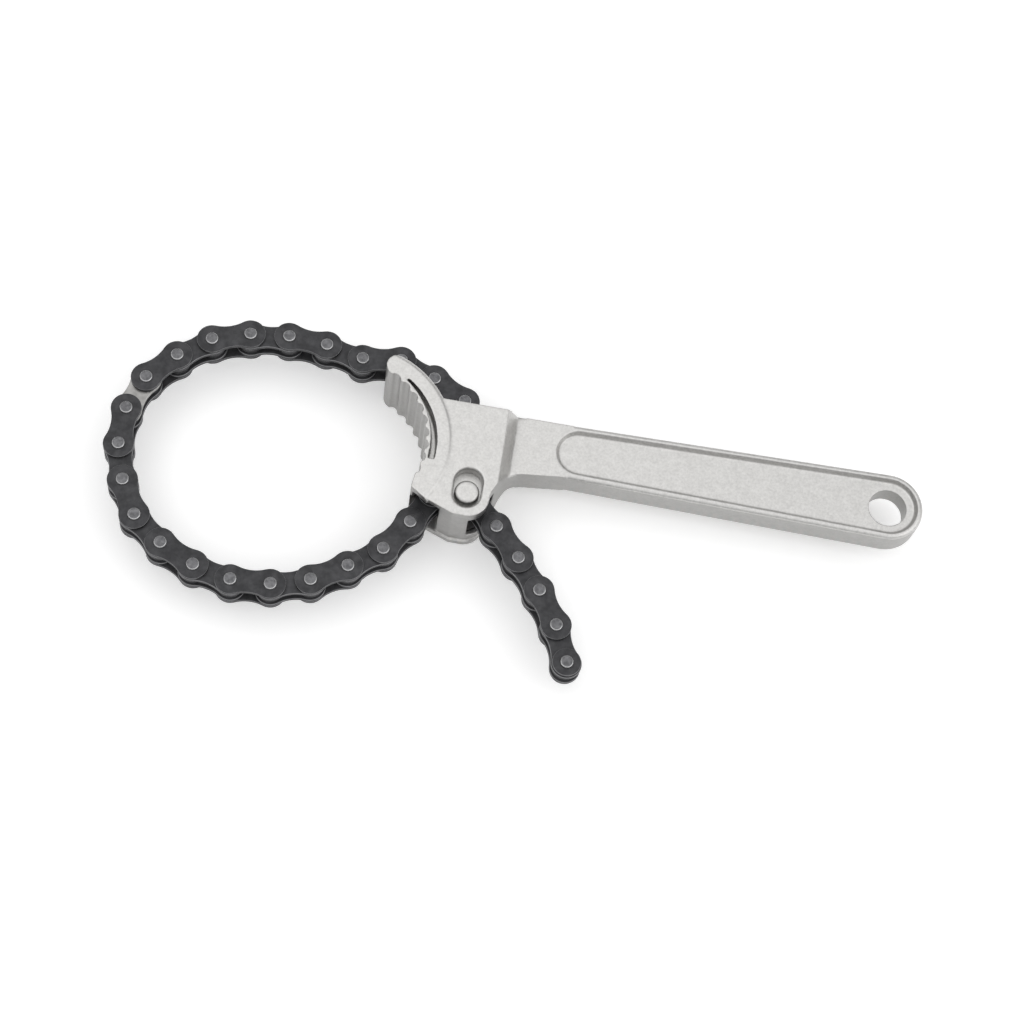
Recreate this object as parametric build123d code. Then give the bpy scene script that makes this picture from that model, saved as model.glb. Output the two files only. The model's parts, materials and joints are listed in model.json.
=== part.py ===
# Chain oil filter wrench: a cast jaw with a handle, a roller chain anchored behind
# the jaw, and a locking slider that holds the chain between two of its rollers.
# The origin is the axis of the hang hole, at mid-height. X runs along the handle
# towards the hole, and the chain lies on its side in the XY plane.
from build123d import *
import math
import os

os.makedirs("parts", exist_ok=True)

# Roller chain
chain_pitch = 12.7
roller_radius = 4.2
inner_gap = 3.4
plate_thickness = 1.3
plate_clearance = 0.1
plate_end_radius = 4.95
plate_waist = 7.5
pin_radius = 2.1
pin_proud = 0.6
pin_fit = 0.05
press_gap = 0.02
bush_wall = 0.75
end_disc_radius = 4.6

# Where the chain is held, and the way each link points, in degrees
anchor_x = -136.5
anchor_y = 0.8
held_x = -147.7
held_y = -22.2
loop_headings = [
    120, 151, 159, 188, 168, 177, 187, 199, 218, 229, 251, 270,
    287, 298, 321, 334, 347, 3, 17, 32, 38, 57, 63,
]
jaw_link_count = 4
tail_headings = [5, -45, -48, -50, -57, -67]
closing_rounds = 12

# Handle
handle_thickness = 11.0
handle_end_radius = 11.6
neck_half_width = 9.3
neck_x = -121.0
handle_root = 6.0
handle_edge_radius = 1.6
hole_radius = 6.25
recess_depth = 1.8
recess_rim = 2.8
recess_x = -102.8
recess_draft = 1.0

# Jaw
jaw_x = -177.0
jaw_y = -10.5
jaw_height = 26.0
jaw_outer_radius = 33.0
bore_radius = 26.5
bore_shift = 2.5
jaw_web = 4.8
rim_slope_width = 1.3
rim_slope_drop = 0.9
jaw_tip_angle = 68.0
jaw_heel_angle = -33.5
jaw_heel_reach = 26.0
jaw_heel_fillet = 1.0
tooth_pitch = 4.4
tooth_depth = 1.0
tooth_valley = 3.2
tooth_valleys = 9
tooth_start_angle = 59.0
tooth_end_angle = -20.0
groove_depth = 4.5
groove_radius = 28.2
groove_width = 0.6
groove_swell = 1.7
groove_swell_angle = -30.0
groove_top_angle = 54.0
groove_foot_y = -14.1

# Head
head_height = 25.0
head_top_y = 7.8
head_foot_y = -31.6
head_corner_radius = 6.5
head_right_x = -129.6
head_side_angle = 15.0
toe_width = 9.8
toe_taper = 1.2
ramp_top_x = -128.0
ramp_foot_x = -124.6
flare_start_x = -106.0
flare_drop = 2.2
flare_radius = 9.0
shoulder_x = -125.8
neck_overlap = 0.2
front_lip = 0.8

# Room for the chain and the lock
chain_side_gap = 0.45
chain_end_gap = 1.2
channel_right_x = -149.3
mouth_left_x = -154.3
pillar_left_x = -145.2
pillar_right_x = -135.3
mouth_top_y = -19.6
mouth_half_height = 10.0
mouth_strip = 0.8
lock_x = -137.3
lock_y = -23.0
lock_travel = 3.6
lock_gap = 0.3
slider_width = 12.2
slider_cheek = 2.1
slider_top_y = -11.9
slider_web = 3.1
slider_play = 0.12
tooth_gap = 0.5
tooth_thickness = 2.8
tooth_foot_y = -20.8
lock_pin_radius = 4.0
lock_pin_below = 0.4
lock_pin_edge = 1.3
slot_radius = 4.5
slot_foot_gap = 1.5
slot_lip = 0.45
anchor_pin_below = 0.5
anchor_pin_above = 0.9

# Heights worked out from the chain's own stack
inner_top = inner_gap / 2 + plate_thickness
outer_bottom = inner_top + plate_clearance
outer_top = outer_bottom + plate_thickness
pin_top = outer_top + pin_proud
channel_top = pin_top + chain_end_gap
cheek_bottom = channel_top + slider_play
cheek_top = cheek_bottom + slider_cheek
cavity_top = cheek_top + slider_play


def turned(heading, length):
    """The step of that length along a heading in degrees."""
    angle = math.radians(heading)
    return length * math.cos(angle), length * math.sin(angle)


def walk(start, headings):
    """The pivots of a chain that starts at a point and follows the headings."""
    pivots = [start]
    for heading in headings:
        step_x, step_y = turned(heading, chain_pitch)
        last_x, last_y = pivots[-1]
        pivots.append((last_x + step_x, last_y + step_y))
    return pivots


def closed_headings(start, end, headings):
    """Turn each link by the least amount that brings the loop's last pivot to the end."""
    result = list(headings)
    for _ in range(closing_rounds):
        last_x, last_y = walk(start, result)[-1]
        miss_x = end[0] - last_x
        miss_y = end[1] - last_y
        steps = [turned(heading, chain_pitch) for heading in result]
        xx = sum(step[1] ** 2 for step in steps)
        yy = sum(step[0] ** 2 for step in steps)
        xy = -sum(step[0] * step[1] for step in steps)
        pull_x = (yy * miss_x - xy * miss_y) / (xx * yy - xy ** 2)
        pull_y = (xx * miss_y - xy * miss_x) / (xx * yy - xy ** 2)
        for index, step in enumerate(steps):
            result[index] += math.degrees(step[0] * pull_y - step[1] * pull_x)
    return result


anchor = (anchor_x, anchor_y)
held = (held_x, held_y)
headings = closed_headings(anchor, held, loop_headings) + tail_headings
pivots = walk(anchor, headings)
held_link = len(loop_headings)
second_held = pivots[held_link + 1]


def slab(sketch, low, high):
    """The prism of a plan sketch between two heights."""
    return extrude(Pos(0, 0, low) * sketch, high - low)


def both(sketch, low, high):
    """The prism of a plan sketch above mid-height, and its mirror image below."""
    upper = slab(sketch, low, high)
    return upper + mirror(upper, about=Plane.XY)


def disc(radius, x, y):
    return Pos(x, y) * Circle(radius)


def block(x_low, x_high, y_low, y_high):
    return Pos((x_low + x_high) / 2, (y_low + y_high) / 2) * Rectangle(x_high - x_low, y_high - y_low)


def shape(points):
    return make_face(Polyline(*points, close=True))


# Chain

def plate_outline():
    """A link plate between two pivots: round ends joined by a hollow waist."""
    half_pitch = chain_pitch / 2
    half_waist = plate_waist / 2
    drop = plate_end_radius - half_waist
    centre_y = (half_pitch ** 2 - drop ** 2) / (2 * drop)
    hollow_radius = centre_y - half_waist
    reach = plate_end_radius / (plate_end_radius + hollow_radius)
    joint_x = half_pitch * (1 - reach)
    joint_y = centre_y * reach
    middle = block(-joint_x, joint_x, -joint_y, joint_y)
    middle -= disc(hollow_radius, 0, centre_y) + disc(hollow_radius, 0, -centre_y)
    ends = disc(plate_end_radius, -half_pitch, 0) + disc(plate_end_radius, half_pitch, 0)
    return Pos(half_pitch, 0) * (ends + middle)


def plate_pair(bore_radius, low):
    bores = disc(bore_radius, 0, 0) + disc(bore_radius, chain_pitch, 0)
    plate = slab(plate_outline() - bores, low, low + plate_thickness)
    return [plate, mirror(plate, about=Plane.XY)]


def inner_link():
    """Two plates on two bushes, with a roller on each bush."""
    bore = pin_radius + pin_fit
    outside = bore + bush_wall
    pieces = plate_pair(outside + press_gap, inner_gap / 2)
    for x in (0, chain_pitch):
        pieces.append(slab(disc(outside, x, 0) - disc(bore, x, 0), -inner_top, inner_top))
        roller = disc(roller_radius, x, 0) - disc(outside + pin_fit, x, 0)
        roller_half = inner_gap / 2 - plate_clearance
        pieces.append(slab(roller, -roller_half, roller_half))
    return pieces


def link_pin():
    return slab(Circle(pin_radius), -pin_top, pin_top)


def in_link(pieces, index):
    """Place pieces made along X on one link of the chain."""
    x, y = pivots[index]
    place = Pos(x, y) * Rot(0, 0, headings[index])
    return [place * piece for piece in pieces]


def save(pieces, name):
    solids = []
    for piece in pieces:
        solids.extend(piece.solids())
    body = solids[0] if len(solids) == 1 else Compound(children=solids)
    export_step(body, f"parts/{name}.step")


def chain():
    inner = inner_link()
    outer = plate_pair(pin_radius + press_gap, outer_bottom)
    for index in range(len(headings)):
        number = f"{index + 1:02d}"
        if index % 2 == 0:
            save(in_link(inner, index), f"inner_link_{number}")
        else:
            save(in_link(outer, index), f"outer_link_plates_{number}")
            pins = [link_pin(), Pos(chain_pitch, 0) * link_pin()]
            save(in_link(pins, index), f"outer_link_pins_{number}")


def end_pin():
    """The chain's last pin, with a round washer where an outer plate would be."""
    x, y = pivots[-1]
    washer = slab(Circle(end_disc_radius) - Circle(pin_radius + press_gap), outer_bottom, outer_top)
    pieces = [link_pin(), washer, mirror(washer, about=Plane.XY)]
    save([Pos(x, y) * piece for piece in pieces], "chain_end_pin")


def channel(first, last):
    """The plan of the room that a stretch of the chain needs."""
    radius = plate_end_radius + chain_side_gap
    room = disc(radius, *pivots[first])
    for index in range(first, last):
        x, y = pivots[index]
        place = Pos(x, y) * Rot(0, 0, headings[index])
        room += place * block(0, chain_pitch, -radius, radius)
        room += disc(radius, *pivots[index + 1])
    return room


# Casting

def handle():
    half = handle_thickness / 2
    edge = [
        (neck_x - handle_root, -neck_half_width),
        (0, -handle_end_radius),
        (0, handle_end_radius),
        (neck_x - handle_root, neck_half_width),
    ]
    body = slab(shape(edge) + Circle(handle_end_radius), -half, half)
    rims = body.faces().sort_by(Axis.Z)[-1].edges() + body.faces().sort_by(Axis.Z)[0].edges()
    rims = rims.filter_by(lambda rim: rim.center().X > neck_x - handle_root / 2)
    return fillet(rims, handle_edge_radius)


def recess():
    """The shallow panel on each side of the handle, with sloping walls."""
    half = handle_thickness / 2
    floor = half - recess_depth
    end_half = handle_end_radius - recess_rim
    slope = (handle_end_radius - neck_half_width) / -neck_x
    start_half = end_half + slope * recess_x

    def plan(extra):
        start = start_half + extra
        end = end_half + extra
        sides = [(recess_x, -start), (0, -end), (0, end), (recess_x, start)]
        return shape(sides) + disc(start, recess_x, 0) + disc(end, 0, 0)

    low = Pos(0, 0, floor) * plan(0)
    high = Pos(0, 0, half + press_gap) * plan(recess_draft)
    panel = loft([low, high])
    return panel + mirror(panel, about=Plane.XY)


def around_jaw(radius, angle):
    step_x, step_y = turned(angle, radius)
    return jaw_x + step_x, jaw_y + step_y


def around_bore(radius, angle):
    """A point about the centre of the toothed bore, which lies left of the jaw's own."""
    step_x, step_y = turned(angle, radius)
    return jaw_x - bore_shift + step_x, jaw_y + step_y


def bore_reach(angle):
    """How far the bore lies from the jaw's centre at an angle."""
    shift_x, shift_y = turned(angle, bore_shift)
    return math.sqrt(bore_radius ** 2 - shift_y ** 2) - shift_x


web_outside = bore_radius - bore_shift + jaw_web


def head_plan():
    """The head from above. Its left side runs inside the jaw's thickness."""
    seam = (web_outside + jaw_outer_radius) / 2
    seam_top_x = jaw_x + math.sqrt(seam ** 2 - (head_top_y - jaw_y) ** 2)
    flare_corner = (ramp_foot_x, -neck_half_width - flare_drop)
    toe_corner = (head_right_x - toe_taper, head_foot_y)
    edge = [
        (flare_start_x, -neck_half_width - neck_overlap),
        flare_corner,
        (head_right_x, mouth_top_y - flare_drop),
        toe_corner,
        (head_right_x - toe_taper - toe_width, head_foot_y),
        around_jaw(seam, jaw_heel_angle),
        around_jaw(seam, -head_side_angle),
        around_jaw(seam, head_side_angle),
        (seam_top_x, head_top_y),
        (ramp_top_x, head_top_y),
        (shoulder_x, neck_half_width),
        (flare_start_x, neck_half_width),
    ]
    plan = shape(edge)
    flare = plan.vertices().sort_by_distance(flare_corner)[0]
    plan = fillet(flare, flare_radius)
    toe = plan.vertices().sort_by_distance(toe_corner)[0]
    return fillet(toe, head_corner_radius)


def head():
    """The plan of the head cut by its side profile, which ramps down to the handle."""
    half = head_height / 2
    handle_half = handle_thickness / 2
    left_x = jaw_x
    right_x = flare_start_x + neck_half_width
    side = [
        (left_x, -half),
        (ramp_top_x, -half),
        (ramp_foot_x, -handle_half),
        (right_x, -handle_half),
        (right_x, handle_half),
        (ramp_foot_x, handle_half),
        (ramp_top_x, half),
        (left_x, half),
    ]
    profile = Plane.XZ * shape(side)
    return slab(head_plan(), -half, half) & extrude(profile, 2 * jaw_outer_radius, both=True)


def jaw():
    """The curved jaw that bears on the filter, with upright teeth on its inner face."""
    half = jaw_height / 2
    far = 2 * jaw_outer_radius
    wedge = shape([
        (jaw_x, jaw_y),
        around_jaw(far, jaw_heel_angle),
        around_jaw(far, 0),
        around_jaw(far, jaw_tip_angle),
    ])
    bore = disc(bore_radius, *around_bore(0, 0))
    band = (disc(jaw_outer_radius, jaw_x, jaw_y) - bore) & wedge
    tip_reach = bore_reach(jaw_tip_angle)
    tip_radius = (jaw_outer_radius - tip_reach) / 2
    tip_x, tip_y = around_jaw(tip_reach + tip_radius, jaw_tip_angle)
    band += disc(tip_radius, tip_x, tip_y)
    heel = around_jaw(jaw_heel_reach, jaw_heel_angle)
    last_tooth = around_bore(bore_radius, tooth_end_angle)
    band -= shape([heel, last_tooth, (jaw_x, jaw_y), around_jaw(far, 2 * jaw_heel_angle)])
    corner = band.vertices().sort_by_distance(heel)[0]
    band = fillet(corner, jaw_heel_fillet)
    tooth_angle = math.degrees(tooth_pitch / bore_radius)
    scallop = (tooth_valley ** 2 / 4 + tooth_depth ** 2) / (2 * tooth_depth)
    for index in range(tooth_valleys):
        angle = tooth_start_angle - index * tooth_angle
        band -= disc(scallop, *around_bore(bore_radius + tooth_depth - scallop, angle))
    return slab(band, -half, half) - rim_slope()


def rim_slope():
    """What the slope takes off each rim of the jaw, where the rim steps down to the head."""
    top = jaw_height / 2
    low = top - rim_slope_drop
    ring = slab(disc(2 * jaw_outer_radius, jaw_x, jaw_y), low, top)
    cone = Cone(jaw_outer_radius, jaw_outer_radius - rim_slope_width, rim_slope_drop)
    ring -= Pos(jaw_x, jaw_y, (low + top) / 2) * cone
    return ring + mirror(ring, about=Plane.XY)


def groove():
    """The crescent sunk in each rim behind the teeth, widest at its foot."""
    centre_x, centre_y = around_bore(0, 0)
    swell_x, swell_y = turned(groove_swell_angle, groove_swell)
    ring = disc(groove_radius + groove_width, centre_x + swell_x, centre_y + swell_y)
    ring -= disc(groove_radius, centre_x, centre_y)
    top_y = around_bore(groove_radius, groove_top_angle)[1]
    ring &= block(centre_x, centre_x + jaw_outer_radius, groove_foot_y, top_y)
    top = jaw_height / 2
    return both(ring, top - groove_depth, top)


def chain_room():
    """The channel behind the jaw, the two mouths, and the way between them."""
    depth = head_foot_y - 2 * plate_end_radius
    far = 2 * jaw_outer_radius
    ring = disc(far, jaw_x, jaw_y) - disc(web_outside, jaw_x, jaw_y)
    back = ring & block(jaw_x, channel_right_x, head_top_y, jaw_y + far)
    room = back + channel(0, jaw_link_count)
    room += channel(held_link - 1, held_link + 2)
    room += block(mouth_left_x, pillar_left_x, depth, held_y)
    room += block(pillar_right_x, head_right_x + chain_pitch, depth, mouth_top_y)
    foot = block(pillar_left_x, pillar_right_x, depth, lock_y - plate_end_radius - chain_side_gap)
    tall = block(mouth_left_x + mouth_strip, pillar_left_x, depth, held_y)
    front = block(mouth_left_x, head_right_x + chain_pitch, depth, head_foot_y + head_corner_radius)
    front -= Pos(0, front_lip) * head_plan()
    rooms = slab(room - foot, -channel_top, channel_top)
    return rooms + slab(tall + front, -mouth_half_height, mouth_half_height)


def slot_plan(radius):
    low = lock_y - lock_pin_radius - slot_foot_gap + slot_radius
    high = lock_y + lock_travel + lock_pin_radius + lock_gap - slot_radius
    slot = block(lock_x - radius, lock_x + radius, low, high)
    return slot + disc(radius, lock_x, low) + disc(radius, lock_x, high)


def lock_room():
    """The cavity of the locking slider, and the slot in each face for its pin."""
    half = slider_width / 2 + slider_play
    top = slider_top_y + lock_travel + lock_gap
    cavity = block(lock_x - half, lock_x + half, lock_y, top) + disc(half, lock_x, lock_y)
    face = head_height / 2
    room = slab(cavity, -cavity_top, cavity_top)
    room += slab(slot_plan(slot_radius), -face, face)
    return room + both(slot_plan(slot_radius + slot_lip), face - slot_lip, face)


def anchor_bore():
    """The anchor pin's bore, open below and blind above."""
    return slab(disc(pin_radius + press_gap, *anchor), -head_height / 2, cavity_top + anchor_pin_above)


def casting():
    body = handle() + head() + jaw()
    body -= recess()
    body -= slab(Circle(hole_radius), -handle_thickness, handle_thickness)
    body -= groove()
    body -= chain_room()
    body -= lock_room()
    body -= anchor_bore()
    save([body], "cast_jaw_and_handle")


# Lock

def locking_slider():
    """Two cheeks over and under the chain, a web behind it and a tooth between rollers."""
    half = slider_width / 2
    cheek = block(lock_x - half, lock_x + half, lock_y, slider_top_y) + disc(half, lock_x, lock_y)
    body = both(cheek, cheek_bottom, cheek_top)
    web_foot = slider_top_y - slider_web
    body += slab(block(lock_x - half, lock_x + half, web_foot, slider_top_y), -cheek_top, cheek_top)
    middle = (held_x + second_held[0]) / 2
    tooth_half = chain_pitch / 2 - roller_radius - tooth_gap
    tooth = block(middle - tooth_half, middle + tooth_half, tooth_foot_y, web_foot)
    body += slab(tooth, -tooth_thickness / 2, tooth_thickness / 2)
    save([body], "locking_slider")


def locking_pins():
    """The two thumb pins that stand on the slider and show in the slots."""
    top = head_height / 2 - lock_pin_below
    pin = slab(Circle(lock_pin_radius), cheek_top, top)
    pin = fillet(pin.faces().sort_by(Axis.Z)[-1].edges(), lock_pin_edge)
    pin = Pos(lock_x, lock_y) * pin
    save([pin, mirror(pin, about=Plane.XY)], "locking_pins")


def anchor_pin():
    low = -head_height / 2 + anchor_pin_below
    pin = slab(Circle(pin_radius), low, cavity_top + anchor_pin_above - plate_clearance)
    save([Pos(*anchor) * pin], "anchor_pin")


casting()
locking_slider()
locking_pins()
anchor_pin()
chain()
end_pin()
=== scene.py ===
import bpy
import bmesh
import json
import math
from mathutils import Matrix, Vector


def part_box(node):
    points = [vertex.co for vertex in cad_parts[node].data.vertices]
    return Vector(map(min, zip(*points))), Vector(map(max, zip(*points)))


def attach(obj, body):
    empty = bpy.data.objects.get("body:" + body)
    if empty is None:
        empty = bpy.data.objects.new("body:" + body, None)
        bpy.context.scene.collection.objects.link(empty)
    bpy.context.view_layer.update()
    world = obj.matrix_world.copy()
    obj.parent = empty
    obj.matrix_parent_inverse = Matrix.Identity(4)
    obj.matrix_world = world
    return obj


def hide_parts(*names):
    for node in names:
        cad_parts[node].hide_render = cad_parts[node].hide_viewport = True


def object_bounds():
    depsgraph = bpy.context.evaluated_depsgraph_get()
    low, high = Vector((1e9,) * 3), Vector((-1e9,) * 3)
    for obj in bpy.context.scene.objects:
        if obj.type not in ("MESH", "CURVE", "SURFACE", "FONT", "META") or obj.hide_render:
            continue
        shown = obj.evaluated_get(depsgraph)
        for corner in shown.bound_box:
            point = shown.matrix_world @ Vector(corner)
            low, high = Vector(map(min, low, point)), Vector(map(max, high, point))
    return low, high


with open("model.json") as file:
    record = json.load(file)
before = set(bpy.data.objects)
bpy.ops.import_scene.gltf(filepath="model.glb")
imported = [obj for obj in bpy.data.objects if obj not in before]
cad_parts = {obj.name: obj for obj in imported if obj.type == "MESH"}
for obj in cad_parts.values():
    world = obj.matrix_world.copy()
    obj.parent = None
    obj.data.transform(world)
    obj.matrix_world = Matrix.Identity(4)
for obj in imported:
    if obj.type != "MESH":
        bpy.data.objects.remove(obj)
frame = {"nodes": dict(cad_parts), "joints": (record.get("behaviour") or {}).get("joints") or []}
cadLow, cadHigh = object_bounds()
millimetre = 0.001


# Colours, nodes and materials

def hexColour(code):
    parts = [int(code[i:i + 2], 16) / 255 for i in (1, 3, 5)]
    linear = [p / 12.92 if p <= 0.04045 else ((p + 0.055) / 1.055) ** 2.4 for p in parts]
    return (*linear, 1.0)


# Settings go by socket or by property; links give, for each socket, where its value comes from.
def addNode(tree, kind, settings=None, links=None):
    node = tree.nodes.new(kind)
    for name, value in (settings or {}).items():
        if isinstance(name, int) or name in node.inputs:
            node.inputs[name].default_value = value
        else:
            setattr(node, name, value)
    for name, source in (links or {}).items():
        tree.links.new(source, node.inputs[name])
    return node


def newMaterial(name):
    material = bpy.data.materials.new(name)
    material.use_nodes = True
    material.node_tree.nodes.clear()
    return material, material.node_tree


def setRamp(node, stops):
    ramp = node.color_ramp
    while len(ramp.elements) < len(stops):
        ramp.elements.new(0.5)
    for element, (place, colour) in zip(ramp.elements, stops):
        element.position = place
        element.color = colour if len(colour) == 4 else (*colour, 1.0)


castFinishAndShade = {
    "light": "#dad9d7",
    "dark": "#c5c4c2",
    # painted shade: the darker tint multiplied over upright faces
    "sideShade": "#d0d0d0",
    "roughness": 0.40,
    "grainMm": 0.8,        # blasted grain under the plating
    "mottleMm": 2.6,       # soft unevenness left by the mould
    "grainDepth": 0.030,   # mm
    "mottleDepth": 0.035,
}


# Steel casting, blasted and then nickel plated: a pale satin metal. The fine grain breaks
# up its reflections, and a slow unevenness below it keeps the flats from looking drawn.
def satinPlatedCasting():
    s = castFinishAndShade
    material, tree = newMaterial("satinNickelPlatedCasting")
    coordinates = addNode(tree, "ShaderNodeTexCoord")
    place = coordinates.outputs["Object"]
    grain = addNode(tree, "ShaderNodeTexNoise",
                    {"Scale": 1 / (s["grainMm"] * millimetre), "Detail": 3.0, "Roughness": 0.6},
                    {"Vector": place})
    mottle = addNode(tree, "ShaderNodeTexNoise",
                     {"Scale": 1 / (s["mottleMm"] * millimetre), "Detail": 2.0},
                     {"Vector": place})
    blend = addNode(tree, "ShaderNodeMath", {"operation": "MULTIPLY_ADD", 1: 3.0},
                    {0: grain.outputs["Fac"], 2: mottle.outputs["Fac"]})
    level = addNode(tree, "ShaderNodeMapRange", {"From Min": 1.4, "From Max": 2.6},
                    {"Value": blend.outputs[0]})
    tint = addNode(tree, "ShaderNodeValToRGB", {}, {"Fac": level.outputs["Result"]})
    setRamp(tint, [(0.0, hexColour(s["dark"])), (1.0, hexColour(s["light"]))])
    # Painted shade: upright faces are tinted darker than the flats, by how steeply they face
    facing = addNode(tree, "ShaderNodeSeparateXYZ", {}, {"Vector": coordinates.outputs["Normal"]})
    slope = addNode(tree, "ShaderNodeMath", {"operation": "ABSOLUTE"}, {0: facing.outputs["Z"]})
    skin = addNode(tree, "ShaderNodeValToRGB", {}, {"Fac": slope.outputs[0]})
    setRamp(skin, [(0.2, hexColour(s["sideShade"])), (0.5, (1, 1, 1))])
    shaded = addNode(tree, "ShaderNodeMix", {"data_type": "RGBA", "blend_type": "MULTIPLY"})
    shaded.inputs[0].default_value = 1.0
    tree.links.new(tint.outputs["Color"], shaded.inputs[6])
    tree.links.new(skin.outputs["Color"], shaded.inputs[7])
    rough = addNode(tree, "ShaderNodeMapRange",
                    {"From Min": 0.3, "From Max": 0.7,
                     "To Min": s["roughness"] - 0.05, "To Max": s["roughness"] + 0.08},
                    {"Value": grain.outputs["Fac"]})
    bumpSoft = addNode(tree, "ShaderNodeBump",
                       {"Strength": 1.0, "Distance": s["mottleDepth"] * millimetre},
                       {"Height": mottle.outputs["Fac"]})
    bumpFine = addNode(tree, "ShaderNodeBump",
                       {"Strength": 1.0, "Distance": s["grainDepth"] * millimetre},
                       {"Height": grain.outputs["Fac"], "Normal": bumpSoft.outputs["Normal"]})
    shader = addNode(tree, "ShaderNodeBsdfPrincipled", {"Metallic": 1.0},
                     {"Base Color": shaded.outputs[2], "Roughness": rough.outputs["Result"],
                      "Normal": bumpFine.outputs["Normal"]})
    addNode(tree, "ShaderNodeOutputMaterial", {}, {"Surface": shader.outputs["BSDF"]})
    return material


# Heat treated carbon steel under an oil-dipped black oxide skin: near black, with a soft sheen.
# Its eased edges are painted lighter, partly as rubbed wear and partly as a painted highlight.
# The pins and the bare link are the same steel with the skin thinned or missing.
def treatedSteel(name, settings):
    s = settings
    material, tree = newMaterial(name)
    coordinates = addNode(tree, "ShaderNodeTexCoord")
    place = coordinates.outputs["Object"]
    grain = addNode(tree, "ShaderNodeTexNoise",
                    {"Scale": 1 / (s["grainMm"] * millimetre), "Detail": 3.0, "Roughness": 0.6},
                    {"Vector": place})
    patch = addNode(tree, "ShaderNodeTexNoise",
                    {"Scale": 1 / (s["patchMm"] * millimetre), "Detail": 3.0, "Roughness": 0.55},
                    {"Vector": place})
    tint = addNode(tree, "ShaderNodeValToRGB", {}, {"Fac": patch.outputs["Fac"]})
    setRamp(tint, [(0.35, hexColour(s["dark"])), (0.68, hexColour(s["light"]))])
    # The chain's pieces are flat or upright, so whatever slopes is an eased edge; these are
    # lightened, part rubbed wear and part painted highlight
    facing = addNode(tree, "ShaderNodeSeparateXYZ", {}, {"Vector": coordinates.outputs["Normal"]})
    slope = addNode(tree, "ShaderNodeMath", {"operation": "ABSOLUTE"}, {0: facing.outputs["Z"]})
    edgeWearAndHighlightMask = addNode(tree, "ShaderNodeValToRGB", {}, {"Fac": slope.outputs[0]})
    setRamp(edgeWearAndHighlightMask, [(0.1, (0, 0, 0)), (0.45, (1, 1, 1)), (0.8, (1, 1, 1)), (0.97, (0, 0, 0))])
    edgeWearAndHighlightMix = addNode(tree, "ShaderNodeMath", {"operation": "MULTIPLY", 1: s["edgeWearAndHighlightStrength"]},
                       {0: edgeWearAndHighlightMask.outputs["Color"]})
    colour = addNode(tree, "ShaderNodeMix", {"data_type": "RGBA"})
    tree.links.new(edgeWearAndHighlightMix.outputs[0], colour.inputs[0])
    tree.links.new(tint.outputs["Color"], colour.inputs[6])
    colour.inputs[7].default_value = hexColour(s["rubbedAndHighlightEdge"])
    rough = addNode(tree, "ShaderNodeMapRange",
                    {"From Min": 0.3, "From Max": 0.7,
                     "To Min": s["roughness"] - 0.06, "To Max": s["roughness"] + 0.08},
                    {"Value": grain.outputs["Fac"]})
    bump = addNode(tree, "ShaderNodeBump",
                   {"Strength": 1.0, "Distance": s["grainDepth"] * millimetre},
                   {"Height": grain.outputs["Fac"]})
    shader = addNode(tree, "ShaderNodeBsdfPrincipled", {"Metallic": s["metallic"]},
                     {"Base Color": colour.outputs[2], "Roughness": rough.outputs["Result"],
                      "Normal": bump.outputs["Normal"]})
    addNode(tree, "ShaderNodeOutputMaterial", {}, {"Surface": shader.outputs["BSDF"]})
    return material


# Each edge colour lightens the eased edges: partly rubbed wear, partly painted highlight; on the
# pins it is mostly a painted glint on the rims
blackOxide = {
    "dark": "#363638", "light": "#4a4a4c", "rubbedAndHighlightEdge": "#a0a0a2", "edgeWearAndHighlightStrength": 0.9,
    "roughness": 0.5, "metallic": 0.6,
    "grainMm": 0.3, "patchMm": 3.0, "grainDepth": 0.012,
}
pinSteel = {
    "dark": "#5e5e60", "light": "#7c7c7e", "rubbedAndHighlightEdge": "#e0e0e1", "edgeWearAndHighlightStrength": 1.0,
    "roughness": 0.4, "metallic": 1.0,
    "grainMm": 0.22, "patchMm": 1.1, "grainDepth": 0.014,
}
bareSteel = {
    "dark": "#8f8e8c", "light": "#a8a7a5", "rubbedAndHighlightEdge": "#cbcac8", "edgeWearAndHighlightStrength": 0.6,
    "roughness": 0.36, "metallic": 1.0,
    "grainMm": 0.3, "patchMm": 2.4, "grainDepth": 0.01,
}
castMaterial = satinPlatedCasting()
linkMaterial = treatedSteel("blackOxideChainPlate", blackOxide)
pinMaterial = treatedSteel("rubbedBlackOxidePin", pinSteel)
bareMaterial = treatedSteel("bareStampedSteel", bareSteel)
print("materials made")


# Modelling helpers. The two selecting ones enter edit mode with what passes the test selected.

def deselectAll():
    if bpy.context.object and bpy.context.object.mode != "OBJECT":
        bpy.ops.object.mode_set(mode="OBJECT")
    bpy.ops.object.select_all(action="DESELECT")


def activate(piece):
    deselectAll()
    piece.select_set(True)
    bpy.context.view_layer.objects.active = piece
    return piece


def selectVertices(test):
    bpy.ops.object.mode_set(mode="EDIT")
    bpy.ops.mesh.select_mode(type="VERT")
    bpy.ops.mesh.select_all(action="DESELECT")
    shape = bmesh.from_edit_mesh(bpy.context.object.data)
    for vertex in shape.verts:
        if test(vertex.co):
            vertex.select = True
    shape.select_flush_mode()
    bmesh.update_edit_mesh(bpy.context.object.data)


def selectFaces(test):
    bpy.ops.object.mode_set(mode="EDIT")
    bpy.ops.mesh.select_mode(type="FACE")
    bpy.ops.mesh.select_all(action="DESELECT")
    shape = bmesh.from_edit_mesh(bpy.context.object.data)
    for face in shape.faces:
        if test(face):
            face.select_set(True)
    bmesh.update_edit_mesh(bpy.context.object.data)


def leaveEdit():
    bpy.ops.object.mode_set(mode="OBJECT")


def applyAll(piece):
    activate(piece)
    for modifier in list(piece.modifiers):
        bpy.ops.object.modifier_apply(modifier=modifier.name)
    return piece


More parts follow.
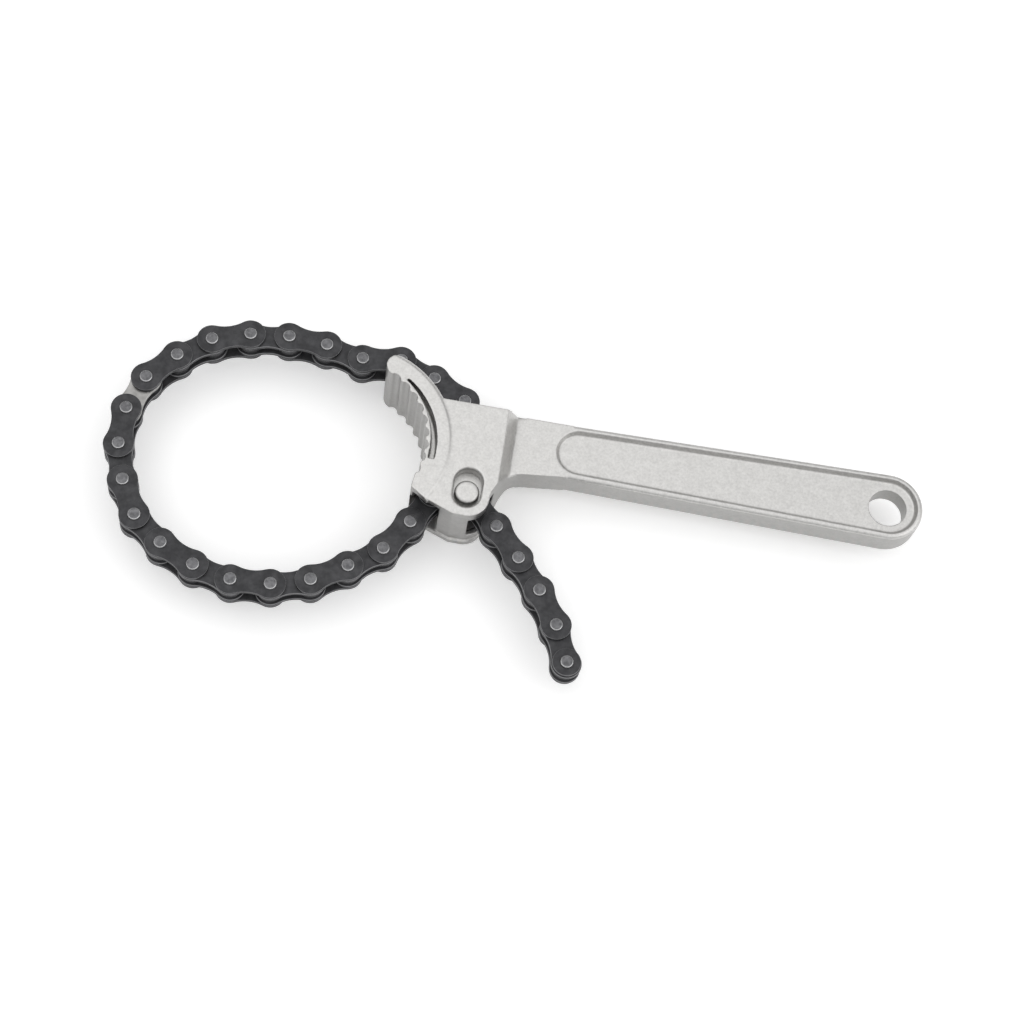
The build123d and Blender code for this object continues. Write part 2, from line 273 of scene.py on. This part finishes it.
def bevelEdges(piece, width, segments=2, angle=35):
    bevel = piece.modifiers.new("edges", "BEVEL")
    bevel.width = width
    bevel.segments = segments
    bevel.limit_method = "ANGLE"
    bevel.angle_limit = math.radians(angle)
    applyAll(piece)
    bpy.ops.object.shade_smooth_by_angle(angle=math.radians(30))
    return piece


# The object's own place goes into its mesh.
def settle(piece):
    activate(piece)
    bpy.ops.object.transform_apply(location=True, rotation=True, scale=True)
    return piece


# A round ring standing on the Z axis, with its rims eased
def tube(name, outer, inner, low, high, bevel, sides=40):
    deselectAll()
    bpy.ops.mesh.primitive_cylinder_add(vertices=sides, radius=outer, depth=high - low,
                                        location=(0, 0, (low + high) / 2))
    piece = settle(bpy.context.object)
    piece.name = name
    selectFaces(lambda face: abs(face.normal.z) > 0.9)
    bpy.ops.mesh.inset(thickness=outer - inner)
    bpy.ops.mesh.bridge_edge_loops()
    leaveEdit()
    return bevelEdges(piece, bevel)


def joinPieces(pieces, name):
    activate(pieces[0])
    for piece in pieces[1:]:
        piece.select_set(True)
    if len(pieces) > 1:
        bpy.ops.object.join()
    pieces[0].name = name
    pieces[0].data.name = name
    return pieces[0]


def copyOf(piece, name):
    twin = piece.copy()
    twin.data = piece.data.copy()
    twin.name = name
    twin.data.name = name
    bpy.context.scene.collection.objects.link(twin)
    return twin


# The mirror image in the chain's middle plane
def mirrored(piece, name):
    twin = copyOf(piece, name)
    twin.data.transform(Matrix.Scale(-1, 4, Vector((0, 0, 1))))
    twin.data.flip_normals()
    return twin


def finish(piece, body, slot, material, *nodes):
    piece.data.materials.clear()
    piece.data.materials.append(material)
    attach(piece, body)
    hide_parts(*nodes)
    return piece


# Where the chain's pivots lie, read from the frame

def pivotPoints():
    joints = [joint for joint in frame["joints"] if joint["name"].startswith("chain_pivot")]
    joints.sort(key=lambda joint: joint["name"])
    points = [Vector(joint["pos_m"]) for joint in joints]
    low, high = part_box("chain_end_pin")
    points.append((Vector(low) + Vector(high)) / 2)
    return points


pivots = pivotPoints()


# From a link made along X, first pivot at the origin, to its place in the loop
def linkPlace(index):
    start, end = pivots[index], pivots[index + 1]
    heading = math.atan2(end.y - start.y, end.x - start.x)
    return Matrix.Translation(start) @ Matrix.Rotation(heading, 4, "Z")


# Chain links

chain = {
    "pitch": 12.7 * millimetre,
    "endRadius": 4.95 * millimetre,
    "waist": 7.5 * millimetre,
    "thickness": 1.3 * millimetre,
    "innerGap": 3.4 * millimetre,
    "plateGap": 0.1 * millimetre,
    "plateBevel": 0.28 * millimetre,
    "pinRadius": 2.1 * millimetre,
    "pinProud": 0.6 * millimetre,
    "pinBevel": 0.5 * millimetre,
    "pinDish": 0.07 * millimetre,
    "dishInset": 0.3,   # of the pin's radius
    "runningGap": 0.05 * millimetre,
    "pressGap": 0.02 * millimetre,
    "bushWall": 0.75 * millimetre,
    "bushBevel": 0.12 * millimetre,
    "rollerRadius": 4.2 * millimetre,
    "rollerBevel": 0.3 * millimetre,
    "washerRadius": 4.6 * millimetre,
    "endSides": 64,
    "roundSides": 40,
    "waistCuts": 13,
}
innerTop = chain["innerGap"] / 2 + chain["thickness"]
outerBottom = innerTop + chain["plateGap"]
outerTop = outerBottom + chain["thickness"]
pinTop = outerTop + chain["pinProud"]


# A stamped plate: a disc pulled out to a pitch long, waisted, pierced and eased
def plateBlank(name, bottom, bore):
    s = chain
    half = s["pitch"] / 2
    deselectAll()
    bpy.ops.mesh.primitive_circle_add(vertices=s["endSides"], radius=s["endRadius"],
                                      fill_type="NGON", location=(0, 0, bottom),
                                      rotation=(0, 0, math.pi / s["endSides"]))
    plate = settle(bpy.context.object)
    plate.name = name
    selectVertices(lambda point: point.x > 0)
    bpy.ops.transform.translate(value=(s["pitch"], 0, 0))
    limit = s["endRadius"] * math.sin(math.pi / s["endSides"]) * 1.5
    selectVertices(lambda point: abs(point.x - half) < half + limit
                   and abs(point.y) > s["endRadius"] * 0.99)
    bpy.ops.mesh.subdivide(number_cuts=s["waistCuts"])
    leaveEdit()
    # The waist is an arc on each side that meets both ends without a corner
    drop = s["endRadius"] - s["waist"] / 2
    centreY = (half ** 2 - drop ** 2) / (2 * drop)
    hollow = centreY - s["waist"] / 2
    reach = s["endRadius"] / (s["endRadius"] + hollow)
    tangentX = half * reach
    for vertex in plate.data.vertices:
        fromMiddle = abs(vertex.co.x - half)
        if fromMiddle >= half + limit or abs(vertex.co.y) < s["endRadius"] * 0.9:
            continue
        side = math.copysign(1.0, vertex.co.y)
        if half - fromMiddle > tangentX:
            height = centreY - math.sqrt(hollow ** 2 - fromMiddle ** 2)
        else:
            height = math.sqrt(s["endRadius"] ** 2 - (half - fromMiddle) ** 2)
        vertex.co.y = side * height
    selectFaces(lambda face: True)
    bpy.ops.mesh.extrude_region_move(TRANSFORM_OT_translate={"value": (0, 0, s["thickness"])})
    bpy.ops.mesh.select_all(action="SELECT")
    bpy.ops.mesh.normals_make_consistent(inside=False)
    leaveEdit()
    for x in (0, s["pitch"]):
        bpy.ops.mesh.primitive_cylinder_add(vertices=s["roundSides"], radius=bore,
                                            depth=4 * s["thickness"],
                                            location=(x, 0, bottom + s["thickness"] / 2))
        punch = bpy.context.object
        hole = plate.modifiers.new("hole", "BOOLEAN")
        hole.operation = "DIFFERENCE"
        hole.solver = "EXACT"
        hole.object = punch
        applyAll(plate)
        bpy.data.objects.remove(punch)
    return bevelEdges(plate, s["plateBevel"], 3)


# A rivet pin, its heads bevelled and very slightly dished where they were peened
def pinBlank(name):
    s = chain
    deselectAll()
    bpy.ops.mesh.primitive_cylinder_add(vertices=s["roundSides"], radius=s["pinRadius"],
                                        depth=2 * pinTop)
    pin = settle(bpy.context.object)
    pin.name = name
    bevelEdges(pin, s["pinBevel"], 3)
    selectFaces(lambda face: abs(face.normal.z) > 0.99)
    bpy.ops.mesh.inset(thickness=s["pinRadius"] * s["dishInset"])
    for side in (1, -1):
        selectFaces(lambda face: face.normal.z * side > 0.99 and len(face.verts) > 4)
        bpy.ops.transform.translate(value=(0, 0, -side * s["pinDish"]))
    leaveEdit()
    return pin


bushOuter = chain["pinRadius"] + chain["runningGap"] + chain["bushWall"]
innerPlate = plateBlank("innerPlate", chain["innerGap"] / 2, bushOuter + chain["pressGap"])
outerPlate = plateBlank("outerPlate", outerBottom, chain["pinRadius"] + chain["pressGap"])
lowerInnerPlate = mirrored(innerPlate, "lowerInnerPlate")
outerPlates = joinPieces([outerPlate, mirrored(outerPlate, "lower")], "outerPlates")
rollerHalf = chain["innerGap"] / 2 - chain["plateGap"]
roller = tube("roller", chain["rollerRadius"], bushOuter + chain["runningGap"],
              -rollerHalf, rollerHalf, chain["rollerBevel"], 48)
bush = tube("bush", bushOuter, chain["pinRadius"] + chain["runningGap"],
            -innerTop, innerTop, chain["bushBevel"])
pin = pinBlank("pin")
washer = tube("washer", chain["washerRadius"], chain["pinRadius"] + chain["pressGap"],
              outerBottom, outerTop, chain["plateBevel"], 64)
washerPair = joinPieces([washer, mirrored(washer, "lower")], "washerPair")
print("chain patterns made")


def placed(pattern, name, matrix):
    piece = copyOf(pattern, name)
    piece.data.transform(matrix)
    return piece


# Two copies of a round piece, one at each pivot of a link
def pairAlong(pattern, name, index):
    place = linkPlace(index)
    far = place @ Matrix.Translation((chain["pitch"], 0, 0))
    return joinPieces([placed(pattern, name, place), placed(pattern, name + "b", far)], name)


def buildChain():
    for index in range(len(pivots) - 1):
        number = f"{index + 1:02d}"
        body = f"link_{number}"
        if index % 2 == 0:
            node = f"inner_link_{number}"
            top = placed(innerPlate, f"innerPlate_{number}", linkPlace(index))
            if number == "11":   # the one plate that was never blackened
                finish(top, body, "bright_link", bareMaterial, node)
            else:
                finish(top, body, "chain_link", linkMaterial, node)
            under = placed(lowerInnerPlate, f"lowerPlate_{number}", linkPlace(index))
            rollers = pairAlong(roller, f"rollers_{number}", index)
            bushes = pairAlong(bush, f"bushes_{number}", index)
            for piece in (under, rollers, bushes):
                finish(piece, body, "chain_link", linkMaterial, node)
        else:
            plates = placed(outerPlates, f"outerPlates_{number}", linkPlace(index))
            finish(plates, body, "chain_link", linkMaterial, f"outer_link_plates_{number}")
            pins = pairAlong(pin, f"pins_{number}", index)
            finish(pins, body, "chain_pin", pinMaterial, f"outer_link_pins_{number}")
    lastBody = f"link_{len(pivots) - 1:02d}"
    place = Matrix.Translation(pivots[-1])
    endPin = placed(pin, "endPin", place)
    finish(endPin, lastBody, "chain_pin", pinMaterial, "chain_end_pin")
    washers = placed(washerPair, "endWashers", place)
    finish(washers, lastBody, "chain_link", linkMaterial, "chain_end_pin")


buildChain()
for pattern in (innerPlate, lowerInnerPlate, outerPlates, roller, bush, pin, washerPair):
    bpy.data.objects.remove(pattern)
print("chain built")


# Casting: the jaw, head and handle, softened as a casting is

casting = {
    "weld": 0.002 * millimetre,
    "voxel": 0.26 * millimetre,
    "smoothing": 9,
    "smoothFactor": 0.5,
    "triangles": 180000,
    "rampFoot": -124.4 * millimetre,
    "rampEase": 2.6 * millimetre,
    "rampSmoothing": 45,
}


def buildCasting():
    s = casting
    body = copyOf(frame["nodes"]["cast_jaw_and_handle"], "castBody")
    body.parent = None
    body.matrix_world = Matrix.Identity(4)
    activate(body)
    bpy.ops.object.mode_set(mode="EDIT")
    bpy.ops.mesh.select_all(action="SELECT")
    bpy.ops.mesh.remove_doubles(threshold=s["weld"])
    leaveEdit()
    remesh = body.modifiers.new("skin", "REMESH")
    remesh.mode = "VOXEL"
    remesh.voxel_size = s["voxel"]
    smooth = body.modifiers.new("soften", "SMOOTH")
    smooth.factor = s["smoothFactor"]
    smooth.iterations = s["smoothing"]
    applyAll(body)
    rampFoot = s["rampFoot"]
    selectVertices(lambda point: abs(point.x - rampFoot) < s["rampEase"])
    bpy.ops.mesh.vertices_smooth(factor=0.5, repeat=s["rampSmoothing"])
    leaveEdit()
    thin = body.modifiers.new("thin", "DECIMATE")
    thin.ratio = s["triangles"] / (2 * len(body.data.polygons))   # the skin is all quads
    applyAll(body)
    bpy.ops.object.shade_smooth()
    return finish(body, "casting", "cast_body", castMaterial, "cast_jaw_and_handle")


castBody = buildCasting()
print("casting built", len(castBody.data.polygons), "faces")


# Lock: two thumb pins in the slots, on the slider inside

lock = {
    "pinRadius": 4.0 * millimetre,
    "edge": 1.3 * millimetre,
    "edgeSegments": 5,
    "sides": 72,
    "capRings": 3,
    "capStep": 0.2,   # of the radius
}


def lockPinPair():
    s = lock
    low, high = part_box("locking_pins")
    sliderLow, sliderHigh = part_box("locking_slider")
    centre = [(low[i] + high[i]) / 2 for i in range(2)]
    bottom, top = sliderHigh[2], high[2]
    deselectAll()
    bpy.ops.mesh.primitive_cylinder_add(vertices=s["sides"], radius=s["pinRadius"],
                                        depth=top - bottom, location=(*centre, (top + bottom) / 2))
    upper = settle(bpy.context.object)
    upper.name = "lockPins"
    selectFaces(lambda face: face.normal.z > 0.9)
    bpy.ops.mesh.bevel(offset=s["edge"], segments=s["edgeSegments"], affect="EDGES")
    leaveEdit()
    selectFaces(lambda face: face.normal.z > 0.999 and len(face.verts) > 4)
    for ring in range(s["capRings"]):
        bpy.ops.mesh.inset(thickness=s["pinRadius"] * s["capStep"])
    leaveEdit()
    bpy.ops.object.shade_smooth_by_angle(angle=math.radians(40))
    return joinPieces([upper, mirrored(upper, "lower")], "lockPins")


finish(lockPinPair(), "lock", "lock_steel", castMaterial, "locking_pins")
for name in ("locking_slider", "anchor_pin"):
    node = frame["nodes"][name]
    node.data.materials.clear()
    node.data.materials.append(castMaterial)
print("lock built")


# Floor, light and camera

studio = {
    "floor": "#ffffff",
    "floorSize": 40,   # metres, so that no low view sees past it
    "floorLift": 0.2,
    "sky": [(0.5, "#6a6a6a"), (0.66, "#b0b0b0"), (0.86, "#ffffff")],
    "skyLight": 1.02,
    "key": {"power": 1.0, "size": 1.0, "place": (-0.5, 0.1, 0.85)},
    "fill": {"power": 1.4, "size": 0.8, "place": (0.65, -0.15, 0.45)},
    "aim": (-0.12, -0.02, 0.0),
}
view = {
    "place": (-0.14593, -0.30841, 0.67163),
    "elevation": 66.86,
    "heading": -4.85,
    "roll": 14.13,
    "focalPixels": 2252,
    "framePixels": 1024,
    "sensor": 36.0,
    "clipStart": 0.01,
}


def buildStudio():
    s = studio
    deselectAll()
    bpy.ops.mesh.primitive_plane_add(size=s["floorSize"], location=(0, 0, cadLow.z))
    floor = bpy.context.object
    floor.name = "floor"
    material, tree = newMaterial("whitePaperFloor")
    paper = addNode(tree, "ShaderNodeBsdfDiffuse", {"Color": hexColour(s["floor"])})
    # The paper shows a little lighter than it is lit, and reflects so in metal
    path = addNode(tree, "ShaderNodeLightPath")
    seen = addNode(tree, "ShaderNodeMath", {"operation": "MAXIMUM"},
                   {0: path.outputs["Is Camera Ray"], 1: path.outputs["Is Glossy Ray"]})
    through = addNode(tree, "ShaderNodeMath", {"operation": "MAXIMUM"},
                      {0: seen.outputs[0], 1: path.outputs["Is Transmission Ray"]})
    lift = addNode(tree, "ShaderNodeMath", {"operation": "MULTIPLY", 1: s["floorLift"]},
                   {0: through.outputs[0]})
    glow = addNode(tree, "ShaderNodeEmission", {"Color": hexColour(s["floor"])},
                   {"Strength": lift.outputs[0]})
    both = addNode(tree, "ShaderNodeAddShader", {}, {0: paper.outputs[0], 1: glow.outputs[0]})
    addNode(tree, "ShaderNodeOutputMaterial", {}, {"Surface": both.outputs[0]})
    floor.data.materials.append(material)

    # A sky that darkens towards the horizon, so upright faces read darker than flat ones
    world = bpy.context.scene.world or bpy.data.worlds.new("studio")
    bpy.context.scene.world = world
    world.use_nodes = True
    tree = world.node_tree
    tree.nodes.clear()
    place = addNode(tree, "ShaderNodeTexCoord")
    height = addNode(tree, "ShaderNodeSeparateXYZ", {}, {"Vector": place.outputs["Generated"]})
    level = addNode(tree, "ShaderNodeMapRange", {"From Min": -1.0, "From Max": 1.0},
                    {"Value": height.outputs["Z"]})
    shade = addNode(tree, "ShaderNodeValToRGB", {}, {"Fac": level.outputs["Result"]})
    setRamp(shade, [(stop, hexColour(colour)) for stop, colour in s["sky"]])
    sky = addNode(tree, "ShaderNodeBackground", {"Strength": s["skyLight"]},
                  {"Color": shade.outputs["Color"]})
    addNode(tree, "ShaderNodeOutputWorld", {}, {"Surface": sky.outputs["Background"]})

    for name in ("key", "fill"):
        lamp = s[name]
        bpy.ops.object.light_add(type="AREA", location=lamp["place"])
        light = bpy.context.object
        light.name = name
        light.data.energy = lamp["power"]
        light.data.size = lamp["size"]
        towards = Vector(s["aim"]) - Vector(lamp["place"])
        light.rotation_euler = towards.to_track_quat("-Z", "Y").to_euler()


def buildCamera():
    s = view
    turn = (Matrix.Rotation(math.radians(s["heading"]), 4, "Z")
            @ Matrix.Rotation(math.radians(90 - s["elevation"]), 4, "X")
            @ Matrix.Rotation(math.radians(s["roll"]), 4, "Z"))
    bpy.ops.object.camera_add()
    camera = bpy.context.object
    camera.matrix_world = Matrix.Translation(Vector(s["place"])) @ turn
    camera.data.sensor_width = s["sensor"]
    camera.data.lens = s["focalPixels"] / s["framePixels"] * s["sensor"]
    camera.data.clip_start = s["clipStart"]
    bpy.context.scene.camera = camera


buildStudio()
buildCamera()
bpy.context.scene.view_settings.view_transform = "Standard"
deselectAll()
print("studio set")
